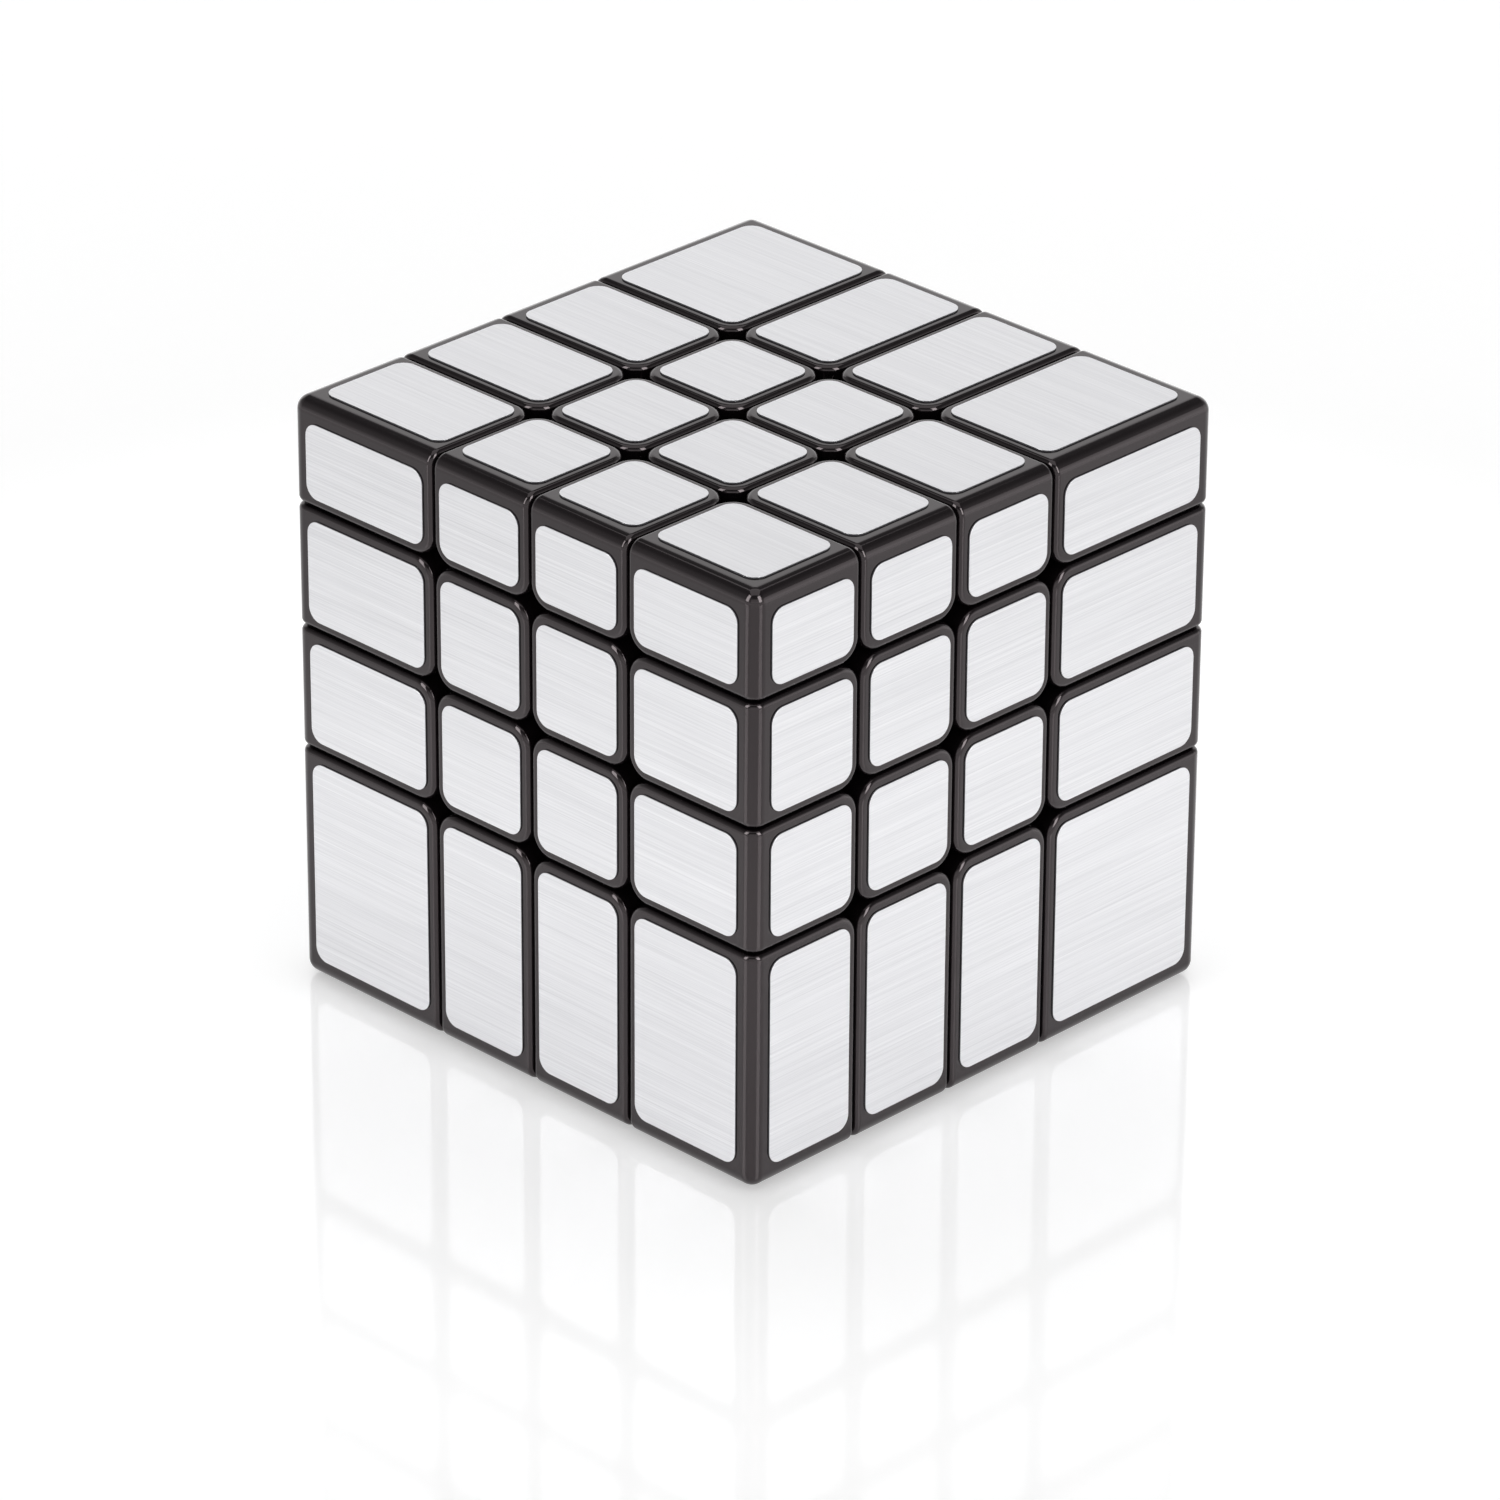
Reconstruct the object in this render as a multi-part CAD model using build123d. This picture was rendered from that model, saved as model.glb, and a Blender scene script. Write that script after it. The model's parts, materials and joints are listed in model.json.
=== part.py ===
"""Mirror block cube, four layers by four layers by four layers.

Fifty-six glossy black blocks of unequal size carry brushed silver films and turn about a hidden six-armed
core. The frame's origin is the centre of the underside, +Z is up, -Y is the front and +X is the right.

Every block is cut from the same set of surfaces, all of them centred on the mechanism: flat planes between
the layers and balls between the depths. A layer therefore turns freely about its axis, however unequal its
blocks are.
"""

import os
from itertools import product

from build123d import *

# ---- The cube, mm ----
CUBE = 60.0          # overall edge, measured over the films
FILM = 0.15          # thickness of a silver film
SLICE = 12.5         # each of the two inner slices, on every axis
OFFSET_STEP = 1.325  # the mechanism sits 1, 3 and 5 of these steps off the cube's centre

# ---- Block edges, mm ----
LAYER_GAP = 0.125    # half of the gap between neighbouring layers
OUTER_EDGE_R = 1.4   # where two outer faces meet
CORNER_R = 2.3       # where four blocks meet on a face
RIM_R = 0.55         # around each outer face

# ---- Films, mm ----
FILM_INNER_MARGIN = 1.13  # from the plane between two layers
FILM_OUTER_MARGIN = 2.2   # from the cube's edge
FILM_CORNER_R = 1.4

# ---- Balls between the depths, mm from the mechanism's centre ----
FOOT_BALL = 24.5     # feet below it, blocks above it
CAP_BALL = 18.0      # caps and guide blocks below it, feet above it
CLAW_BALL = 14.5     # claws of the centre blocks below it, cap flanges above it
BALL_GAP = 0.2       # half of the gap at a ball
FOOT_TUCK = 2.0      # how far a foot reaches under its neighbour
FOOT_CUT = SLICE - FOOT_TUCK

# ---- Stalks and claws of the centre blocks, mm from the face's axis ----
STALK_IN = 6.2
STALK_OUT = 8.8
CLAW_IN = 4.0
STALK_BASE = 9.35    # height of the claws' underside above the mechanism's centre

# ---- Caps and guide blocks, mm ----
HUB_HALF = 3.75      # half width of a cap's square hub
FLANGE_HALF = 5.85   # half width of the square flange, inside the stalks' paths
CAP_BASE = 11.0
CAP_FLOOR = 1.2
CAP_WELL_R = 2.95
CAP_BORE_R = 1.3
GUIDE_HALF = 5.8     # half length of a guide block
GUIDE_BASE = 9.35

# ---- Core, screws, springs and washers, mm ----
CORE_BALL_R = 6.6
ARM_R = 2.6
ARM_END = 10.75
PILOT_R = 1.2
PILOT_START = 6.2
SHANK_R = 1.15
SHANK_START = 6.5
WASHER_R = 2.8
WASHER_T = 0.25
WASHER_BORE_R = 1.35
SPRING_R = 2.15      # to the wire's middle
WIRE_R = 0.27
SPRING_TURNS = 4
SPRING_FREE_GAP = 0.06
HEAD_BASE = 15.9
HEAD_T = 1.3
HEAD_R = 2.5
HEAD_ROUND_R = 0.52
RECESS_W = 0.5
RECESS_L = 2.6
RECESS_DEPTH = 0.7

AXES = (0, 1, 2)
INDEXES = range(4)
LOW_SIDE = 0
HIGH_SIDE = 3
BODY_HALF = CUBE / 2 - FILM
CENTRE = Vector(OFFSET_STEP, -3 * OFFSET_STEP, CUBE / 2 + 5 * OFFSET_STEP)
CUBE_MIDDLE = Vector(0, 0, CUBE / 2)
TOUCH = 1e-4
OVERSHOOT = 1.0      # how far a cutting tool runs past the face that it opens

# The turn from +Z to each arm of the core: the arm's axis and its side.
ARM_TURNS = {
    (0, -1): Rot(0, -90, 0),
    (0, 1): Rot(0, 90, 0),
    (1, -1): Rot(90, 0, 0),
    (1, 1): Rot(-90, 0, 0),
    (2, -1): Rot(180, 0, 0),
    (2, 1): Rot(0, 0, 0),
}
ALL_ARMS = tuple(ARM_TURNS)
SIDE_ARMS = ALL_ARMS[:4]
TOP_ARM = (2, 1)
BOTTOM_ARM = (2, -1)

# Names for the low and high outer face on each axis.
FACE_NAMES = (("left", "right"), ("front", "back"), ("bottom", "top"))
# Names for the low and high half of an edge that runs along each axis.
HALF_NAMES = (("left", "right"), ("front", "back"), ("lower", "upper"))
LAYER_NAMES = ("bottom_layer", "lower_slice", "upper_slice", "top_layer")


def component(vector, axis):
    """One coordinate of a vector."""
    return (vector.X, vector.Y, vector.Z)[axis]


def outer_face(axis, index):
    """Distance of the body's outer face from the mechanism's centre, with its sign."""
    side = -1 if index == LOW_SIDE else 1
    return component(CUBE_MIDDLE, axis) + side * BODY_HALF - component(CENTRE, axis)


def layer_span(axis, index, cut):
    """Where a layer starts and ends along an axis, when the outer layers begin at the given cut."""
    if index == LOW_SIDE:
        return outer_face(axis, index), -cut - LAYER_GAP
    if index == HIGH_SIDE:
        return cut + LAYER_GAP, outer_face(axis, index)
    if index == 1:
        return -cut + LAYER_GAP, -LAYER_GAP
    return LAYER_GAP, cut - LAYER_GAP


def span_box(spans):
    """A box from its low and high limit on each axis."""
    sizes = [high - low for low, high in spans]
    middles = [(high + low) / 2 for low, high in spans]
    return Pos(*middles) * Box(*sizes)


def is_outer(index):
    """Whether a layer is an outer one."""
    return index in (LOW_SIDE, HIGH_SIDE)


def outer_sides(edge, cell):
    """How many outer faces of a block an edge of its box lies on."""
    middle = edge @ 0.5
    count = 0
    for axis, index in zip(AXES, cell):
        if is_outer(index) and abs(component(middle, axis) - outer_face(axis, index)) < TOUCH:
            count += 1
    return count


def runs_along(edge):
    """The axis that a straight edge runs along."""
    direction = edge % 0.5
    return max(AXES, key=lambda axis: abs(component(direction, axis)))


def rounded_block(cell):
    """The visible block of a cell, with its three kinds of rounded edge."""
    box = span_box([layer_span(axis, index, SLICE) for axis, index in zip(AXES, cell)])
    edges = box.edges()
    outer_edges = [edge for edge in edges if outer_sides(edge, cell) == 2]
    if outer_edges:
        box = fillet(outer_edges, OUTER_EDGE_R)
    corner_edges = [
        edge
        for edge in box.edges().filter_by(GeomType.LINE)
        if edge.length > CORNER_R and is_outer(cell[runs_along(edge)]) and len(cut_axes(edge, cell)) == 2
    ]
    box = fillet(corner_edges, CORNER_R)
    rim_edges = [
        edge
        for edge in box.edges().filter_by(GeomType.LINE)
        if outer_sides(edge, cell) == 1 and cut_axes(edge, cell)
    ]
    return fillet(rim_edges, RIM_R)


def cut_planes(cell, axis):
    """The planes of a cell's box that face other blocks, on one axis."""
    low, high = layer_span(axis, cell[axis], SLICE)
    if cell[axis] == LOW_SIDE:
        return (high,)
    if cell[axis] == HIGH_SIDE:
        return (low,)
    return low, high


def cut_axes(edge, cell):
    """The axes on which an edge lies on a plane that faces another block."""
    middle = edge @ 0.5
    return [
        axis
        for axis in AXES
        if any(abs(component(middle, axis) - plane) < TOUCH for plane in cut_planes(cell, axis))
    ]


def foot(cell):
    """The foot of a block, which reaches under its neighbours and slides on the cap ball."""
    spans = [layer_span(axis, index, FOOT_CUT) for axis, index in zip(AXES, cell)]
    if sum(is_outer(index) for index in cell) == 1:
        spans = [centre_foot_span(axis, index, span) for axis, index, span in zip(AXES, cell, spans)]
    return (span_box(spans) & Sphere(FOOT_BALL - BALL_GAP)) - Sphere(CAP_BALL + BALL_GAP)


def centre_foot_span(axis, index, span):
    """Keeps a centre block's foot below the rounded corners of its visible part."""
    depth = SLICE + FOOT_TUCK
    if index == LOW_SIDE:
        return -depth, span[1]
    if index == HIGH_SIDE:
        return span[0], depth
    return span


def claw(cell):
    """The stalk of a centre block and the claw on its end, which the cap's flange holds down."""
    stalk_spans = []
    claw_spans = []
    for index in cell:
        side = 1 if index >= 2 else -1
        if is_outer(index):
            reach = signed_span(side, STALK_BASE, CAP_BALL + OVERSHOOT)
            stalk_spans.append(reach)
            claw_spans.append(reach)
        else:
            stalk_spans.append(signed_span(side, STALK_IN, STALK_OUT))
            claw_spans.append(signed_span(side, CLAW_IN, STALK_OUT))
    return span_box(stalk_spans) + (span_box(claw_spans) & Sphere(CLAW_BALL - BALL_GAP))


def signed_span(side, near, far):
    """A span between two distances from the centre, on one side of it."""
    return (near, far) if side > 0 else (-far, -near)


def block(cell):
    """One whole block in the cube's frame: the visible part, its foot and, on a centre block, its claw."""
    visible = rounded_block(cell)
    foot_box = span_box([layer_span(axis, index, FOOT_CUT) for axis, index in zip(AXES, cell)])
    solid = (visible - Sphere(FOOT_BALL + BALL_GAP)) + ((visible & foot_box) - Sphere(CAP_BALL + BALL_GAP))
    solid = solid + foot(cell)
    if sum(is_outer(index) for index in cell) == 1:
        solid = solid + claw(cell)
    return Pos(CENTRE) * solid.clean()


def film_span(axis, index):
    """Where a film starts and ends along an axis, from the cube's own frame."""
    middle = component(CENTRE, axis)
    bounds = {1: (middle - SLICE, middle), 2: (middle, middle + SLICE)}
    edge_low = component(CUBE_MIDDLE, axis) - CUBE / 2
    edge_high = component(CUBE_MIDDLE, axis) + CUBE / 2
    if index == LOW_SIDE:
        return edge_low + FILM_OUTER_MARGIN, middle - SLICE - FILM_INNER_MARGIN
    if index == HIGH_SIDE:
        return middle + SLICE + FILM_INNER_MARGIN, edge_high - FILM_OUTER_MARGIN
    low, high = bounds[index]
    return low + FILM_INNER_MARGIN, high - FILM_INNER_MARGIN


def film(axis, side_index, others):
    """The silver film on one outer block face, given the layer that it lies in on each other axis."""
    spans = {other: film_span(other, index) for other, index in others.items()}
    body_face = component(CENTRE, axis) + outer_face(axis, side_index)
    film_face = body_face + (FILM if side_index == HIGH_SIDE else -FILM)
    spans[axis] = (min(body_face, film_face), max(body_face, film_face))
    sheet = span_box([spans[each] for each in AXES])
    corners = [edge for edge in sheet.edges() if runs_along(edge) == axis]
    return fillet(corners, FILM_CORNER_R)


def films_on(axis, side_index, level):
    """The films of one outer face that belong to one level, from the bottom layer to the top layer."""
    first, second = [other for other in AXES if other != axis]
    films = []
    for i, j in product(INDEXES, INDEXES):
        others = {first: i, second: j}
        on_level = side_index == level if axis == 2 else others[2] == level
        if on_level:
            films.append(film(axis, side_index, others))
    return films


def side_films(level):
    """All films of one level on the four upright faces."""
    films = []
    for axis, side_index in product((0, 1), (LOW_SIDE, HIGH_SIDE)):
        films += films_on(axis, side_index, level)
    return films


def side_name(axis, index):
    """The name of an outer face."""
    return FACE_NAMES[axis][0 if index == LOW_SIDE else 1]


def block_name(cell):
    """The node name of a corner or edge block."""
    faces = [side_name(axis, cell[axis]) for axis in (2, 1, 0) if is_outer(cell[axis])]
    if len(faces) == 3:
        return "corner_" + "_".join(faces)
    along = [axis for axis in AXES if not is_outer(cell[axis])][0]
    half = HALF_NAMES[along][0 if cell[along] == 1 else 1]
    return "edge_" + "_".join(faces) + "_" + half + "_half"


def centre_group(cell):
    """The node of a centre block: four share one on the top and bottom faces, two on the side faces."""
    axis = [each for each in AXES if is_outer(cell[each])][0]
    face = side_name(axis, cell[axis])
    if axis == 2:
        return face + "_centres"
    return face + "_centres_" + ("lower" if cell[2] == 1 else "upper")


def upright(radius, low, high):
    """A cylinder about the Z axis between two heights."""
    return Pos(0, 0, (low + high) / 2) * Cylinder(radius, high - low)


def square_column(half, low, high):
    """A square column about the Z axis between two heights."""
    return span_box([(-half, half), (-half, half), (low, high)])


def cap():
    """A cap: a square hub, a wider square flange over the claws, and a well for the spring."""
    outside = Sphere(CAP_BALL - BALL_GAP)
    flange = (square_column(FLANGE_HALF, STALK_BASE, CAP_BALL) & outside) - Sphere(CLAW_BALL + BALL_GAP)
    hub = square_column(HUB_HALF, CAP_BASE, CAP_BALL) & outside
    well = upright(CAP_WELL_R, CAP_BASE + CAP_FLOOR, CAP_BALL + OVERSHOOT)
    bore = upright(CAP_BORE_R, CAP_BASE - OVERSHOOT, CAP_BALL)
    return flange + hub - well - bore


def guide_block(along, sides):
    """A hidden guide block between two caps, along one axis and on one side of the two others."""
    spans = []
    for axis in AXES:
        if axis == along:
            spans.append((-GUIDE_HALF, GUIDE_HALF))
        else:
            spans.append(signed_span(sides[axis], GUIDE_BASE, CAP_BALL))
    piece = (span_box(spans) & Sphere(CAP_BALL - BALL_GAP)) - Sphere(CLAW_BALL + BALL_GAP)
    return Pos(CENTRE) * piece


def core_spider():
    """The core: a ball with six arms, each with a pilot hole for its screw."""
    solid = Sphere(CORE_BALL_R)
    for arm in ALL_ARMS:
        solid = solid + ARM_TURNS[arm] * upright(ARM_R, 0, ARM_END)
    for arm in ALL_ARMS:
        solid = solid - ARM_TURNS[arm] * upright(PILOT_R, PILOT_START, ARM_END + OVERSHOOT)
    return Pos(CENTRE) * solid


def screw():
    """A tension screw: plain shank, round head and a cross recess."""
    head = upright(HEAD_R, HEAD_BASE, HEAD_BASE + HEAD_T)
    head = fillet(head.edges().sort_by(Axis.Z)[-1], HEAD_ROUND_R)
    top = HEAD_BASE + HEAD_T
    for width, length in ((RECESS_W, RECESS_L), (RECESS_L, RECESS_W)):
        head = head - Pos(0, 0, top) * Box(width, length, 2 * RECESS_DEPTH)
    return upright(SHANK_R, SHANK_START, HEAD_BASE) + head


def washer():
    """The washer that the spring stands on."""
    base = CAP_BASE + CAP_FLOOR
    bore = upright(WASHER_BORE_R, base - OVERSHOOT, base + WASHER_T + OVERSHOOT)
    return upright(WASHER_R, base, base + WASHER_T) - bore


def spring():
    """The tension spring: round wire on a helix between the washer and the screw's head."""
    low = CAP_BASE + CAP_FLOOR + WASHER_T + WIRE_R + SPRING_FREE_GAP
    high = HEAD_BASE - WIRE_R - SPRING_FREE_GAP
    path = Pos(0, 0, low) * Helix((high - low) / SPRING_TURNS, high - low, SPRING_R)
    wire = Plane(origin=path @ 0, z_dir=path % 0) * Circle(WIRE_R)
    return sweep(wire, path=path, is_frenet=True)


def on_arms(make, arms):
    """The same piece on each of the given arms of the core."""
    return [Pos(CENTRE) * ARM_TURNS[arm] * make() for arm in arms]


def guide_blocks(level):
    """The guide blocks of one level: four at the bottom (-1), four upright (0) or four at the top (1)."""
    if level == 0:
        return [guide_block(2, {0: sx, 1: sy}) for sx, sy in product((-1, 1), (-1, 1))]
    found = []
    for along, across in ((0, 1), (1, 0)):
        for side in (-1, 1):
            found.append(guide_block(along, {across: side, 2: level}))
    return found


def all_nodes():
    """Every node of the cube: its name and the separate solids that it holds."""
    nodes = {}
    for cell in product(INDEXES, INDEXES, INDEXES):
        outer = sum(is_outer(index) for index in cell)
        if outer >= 2:
            nodes[block_name(cell)] = [block(cell)]
        elif outer == 1:
            nodes.setdefault(centre_group(cell), []).append(block(cell))
    nodes["top_face_stickers"] = films_on(2, HIGH_SIDE, HIGH_SIDE)
    nodes["bottom_face_stickers"] = films_on(2, LOW_SIDE, LOW_SIDE)
    for level, layer in enumerate(LAYER_NAMES):
        nodes[layer + "_side_stickers"] = side_films(level)
    nodes["core_spider"] = [core_spider()]
    nodes["tension_screws"] = on_arms(screw, ALL_ARMS)
    nodes["tension_springs"] = on_arms(spring, ALL_ARMS)
    nodes["spring_washers"] = on_arms(washer, ALL_ARMS)
    nodes["side_caps"] = on_arms(cap, SIDE_ARMS)
    nodes["top_cap"] = on_arms(cap, [TOP_ARM])
    nodes["bottom_cap"] = on_arms(cap, [BOTTOM_ARM])
    nodes["guide_blocks_lower"] = guide_blocks(-1)
    nodes["guide_blocks_middle"] = guide_blocks(0)
    nodes["guide_blocks_upper"] = guide_blocks(1)
    return nodes


def write_nodes():
    """Writes one STEP file for each node."""
    os.makedirs("parts", exist_ok=True)
    for name, pieces in all_nodes().items():
        solids = [solid for piece in pieces for solid in piece.solids()]
        whole = solids[0] if len(solids) == 1 else Compound(children=solids)
        export_step(whole, f"parts/{name}.step")


write_nodes()
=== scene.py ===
"""Looks of a four-layer mirror block cube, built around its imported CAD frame.

Fifty-six glossy black ABS blocks of unequal size carry brushed silver films and turn about a hidden core.
The CAD frame gives the places and the outer sizes. This file gives the moulded pieces smooth surfaces, cuts
the films, winds the springs, threads the screws, and sets the cube on a pale floor in soft studio light.
"""

import json
import logging
import math
from dataclasses import dataclass
from enum import Enum
from functools import partial
from itertools import product
from typing import Any, Callable, Iterable, Sequence

import bpy
from bpy.types import Material, Mesh, Node, NodeSocket, NodeTree, Object
from mathutils import Matrix, Vector

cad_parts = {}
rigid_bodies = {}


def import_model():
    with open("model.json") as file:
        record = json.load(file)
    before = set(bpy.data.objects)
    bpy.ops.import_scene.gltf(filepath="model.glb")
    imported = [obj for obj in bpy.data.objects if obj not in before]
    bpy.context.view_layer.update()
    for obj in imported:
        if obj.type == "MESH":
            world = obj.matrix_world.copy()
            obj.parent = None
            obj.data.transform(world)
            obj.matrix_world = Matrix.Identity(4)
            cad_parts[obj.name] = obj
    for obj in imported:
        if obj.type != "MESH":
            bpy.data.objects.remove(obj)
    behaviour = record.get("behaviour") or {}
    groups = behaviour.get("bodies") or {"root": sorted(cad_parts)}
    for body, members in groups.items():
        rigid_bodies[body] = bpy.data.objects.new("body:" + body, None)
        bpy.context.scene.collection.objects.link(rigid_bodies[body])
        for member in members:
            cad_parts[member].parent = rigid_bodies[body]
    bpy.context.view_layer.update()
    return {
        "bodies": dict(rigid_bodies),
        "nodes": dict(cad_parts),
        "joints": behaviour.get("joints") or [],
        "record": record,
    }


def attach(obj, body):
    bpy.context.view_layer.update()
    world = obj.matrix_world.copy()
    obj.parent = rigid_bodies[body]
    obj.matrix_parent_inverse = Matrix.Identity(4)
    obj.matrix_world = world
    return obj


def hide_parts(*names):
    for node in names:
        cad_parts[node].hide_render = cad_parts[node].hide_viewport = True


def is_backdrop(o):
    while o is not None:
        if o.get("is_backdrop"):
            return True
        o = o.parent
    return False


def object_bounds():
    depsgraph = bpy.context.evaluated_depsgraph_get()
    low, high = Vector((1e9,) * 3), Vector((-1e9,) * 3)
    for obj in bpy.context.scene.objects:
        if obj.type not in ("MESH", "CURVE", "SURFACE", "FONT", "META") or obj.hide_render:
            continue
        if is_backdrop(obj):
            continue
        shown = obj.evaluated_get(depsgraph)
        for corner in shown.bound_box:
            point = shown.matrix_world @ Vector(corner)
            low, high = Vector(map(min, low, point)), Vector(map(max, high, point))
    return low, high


# The function add_node once it is bound to a tree.
AddNode = Callable[..., Node]
# The low corner and the high corner of a film in its flat sheet.
Cell = tuple[tuple[float, float], tuple[float, float]]
LOG = logging.getLogger("mirror_block_cube")
MM = 0.001
FULL_TURN = 2 * math.pi
# Nearly all of a noise texture's values lie between these two.
NOISE_LOW = 0.3
NOISE_HIGH = 0.7


# ---- small helpers


def linear(hex_colour: str) -> tuple[float, float, float, float]:
    """Turns an sRGB hex colour into linear light.

    Args:
        hex_colour: Six hex digits, with or without a leading hash.

    Returns:
        Red, green, blue and an alpha of one.
    """
    digits = hex_colour.lstrip("#")
    channels = [int(digits[place : place + 2], 16) / 255 for place in (0, 2, 4)]
    red, green, blue = [c / 12.92 if c <= 0.04045 else ((c + 0.055) / 1.055) ** 2.4 for c in channels]
    return red, green, blue, 1.0


def add_node(
    tree: NodeTree,
    kind: str,
    settings: dict[str, Any] | None = None,
    inputs: dict[str | int, Any] | None = None,
) -> Node:
    """Adds a node, sets its properties, and fills or links its inputs.

    Args:
        tree: The material, world or geometry tree.
        kind: The node's type name.
        settings: Node properties by name.
        inputs: Input sockets by name or number. Each is linked to the value if that is a socket, or to its
            first output if it is a node, and is set to any other value.

    Returns:
        The new node.
    """
    node = tree.nodes.new(kind)
    for name, value in (settings or {}).items():
        setattr(node, name, value)
    for key, value in (inputs or {}).items():
        socket = node.inputs[key]
        if isinstance(value, Node):
            value = value.outputs[0]
        if isinstance(value, NodeSocket):
            tree.links.new(value, socket)
        else:
            socket.default_value = value
    return node


def grey_ramp(
    add: AddNode, value: NodeSocket, stops: Sequence[tuple[float, float]], interpolation: str
) -> NodeSocket:
    """Adds a ramp of greys.

    Args:
        add: Adds a node to the material's or the world's tree.
        value: The socket that picks the place on the ramp.
        stops: Place and level of each stop.
        interpolation: The ramp's way between its stops.

    Returns:
        The ramp's colour socket.
    """
    ramp = add("ShaderNodeValToRGB", inputs={"Fac": value})
    ramp.color_ramp.interpolation = interpolation
    elements = ramp.color_ramp.elements
    while len(elements) < len(stops):
        elements.new(1.0)
    for element, (place, level) in zip(elements, stops):
        element.position = place
        element.color = (level, level, level, 1.0)
    return ramp.outputs["Color"]


def new_piece(name: str, mesh: Mesh) -> Object:
    """Links a mesh into the scene as an object at the origin.

    Args:
        name: The piece's name.
        mesh: Its mesh, already in place.

    Returns:
        The new object.
    """
    piece = bpy.data.objects.new(name, mesh)
    bpy.context.scene.collection.objects.link(piece)
    return piece


def baked(piece: Object) -> Object:
    """Turns a piece's modifiers into a plain mesh and removes them.

    Args:
        piece: The piece with live modifiers.

    Returns:
        The same piece, with its evaluated mesh.
    """
    graph = bpy.context.evaluated_depsgraph_get()
    mesh = bpy.data.meshes.new_from_object(piece.evaluated_get(graph), depsgraph=graph)
    mesh.name = piece.name
    piece.modifiers.clear()
    piece.data = mesh
    return piece


def new_geometry_tree(name: str, sockets: dict[str, str]) -> tuple[NodeTree, AddNode, Any]:
    """Makes an empty Geometry Nodes tree.

    Args:
        name: The tree's name.
        sockets: The kind of each input besides the geometry, by name.

    Returns:
        The tree, what adds a node to it, and the sockets of its inputs.
    """
    tree = bpy.data.node_groups.new(name, "GeometryNodeTree")
    tree.interface.new_socket("Geometry", in_out="INPUT", socket_type="NodeSocketGeometry")
    for socket, kind in sockets.items():
        tree.interface.new_socket(socket, in_out="INPUT", socket_type=f"NodeSocket{kind}")
    tree.interface.new_socket("Geometry", in_out="OUTPUT", socket_type="NodeSocketGeometry")
    add = partial(add_node, tree)
    return tree, add, add("NodeGroupInput").outputs


def close_geometry_tree(add: AddNode, geometry: Node, material: NodeSocket) -> None:
    """Ends a tree in Realize Instances and Set Material.

    Args:
        add: Adds a node to the tree.
        geometry: The node with the finished geometry.
        material: The socket with the material.
    """
    real = add("GeometryNodeRealizeInstances", inputs={"Geometry": geometry})
    dressed = add("GeometryNodeSetMaterial", inputs={"Geometry": real, "Material": material})
    add("NodeGroupOutput", inputs={"Geometry": dressed})


def add_tree(piece: Object, name: str, tree: NodeTree, values: dict[str, Any]) -> None:
    """Adds a Geometry Nodes modifier and sets its inputs through their sockets' identifiers.

    Args:
        piece: The piece that gets the modifier.
        name: The modifier's name.
        tree: Its tree.
        values: The values by socket name.
    """
    modifier = piece.modifiers.new(name, "NODES")
    modifier.node_group = tree
    for item in tree.interface.items_tree:
        if item.item_type == "SOCKET" and item.in_out == "INPUT" and item.name in values:
            modifier[item.identifier] = values[item.name]


def body_of_node(frame: dict[str, Any]) -> dict[str, str]:
    """The body that each CAD node belongs to."""
    bodies = frame["record"]["behaviour"]["bodies"]
    return {node: body for body, nodes in bodies.items() for node in nodes}


# ---- names and choices


class Layer(Enum):
    """The four layers that turn about the upright axis, from the bottom up."""

    BOTTOM = "bottom_layer"
    LOWER = "lower_slice"
    UPPER = "upper_slice"
    TOP = "top_layer"


class Face(Enum):
    """The six outer faces: the axis that a face looks along, and its side."""

    LEFT = (0, -1)
    RIGHT = (0, 1)
    FRONT = (1, -1)
    BACK = (1, 1)
    BOTTOM = (2, -1)
    TOP = (2, 1)


SIDE_FACES = (Face.FRONT, Face.RIGHT, Face.BACK, Face.LEFT)
LAYERS = tuple(Layer)


class Grain(Enum):
    """The row axis that the brushing of a film runs along."""

    ALONG_X = 0
    ALONG_Y = 1


# ---- finishes


@dataclass(frozen=True)
class Finish:
    """A material's name, and its slot in the record; the studio's own finishes have no slot."""

    name: str
    slot: str = ""

    def start(self) -> tuple[Material, AddNode, NodeSocket]:
        """Makes an empty material.

        Returns:
            The material, what adds a node to it, and the Object coordinates socket.
        """
        material = bpy.data.materials.new(self.name)
        material.use_nodes = True
        material.node_tree.nodes.clear()
        add = partial(add_node, material.node_tree)
        return material, add, add("ShaderNodeTexCoord").outputs["Object"]


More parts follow.
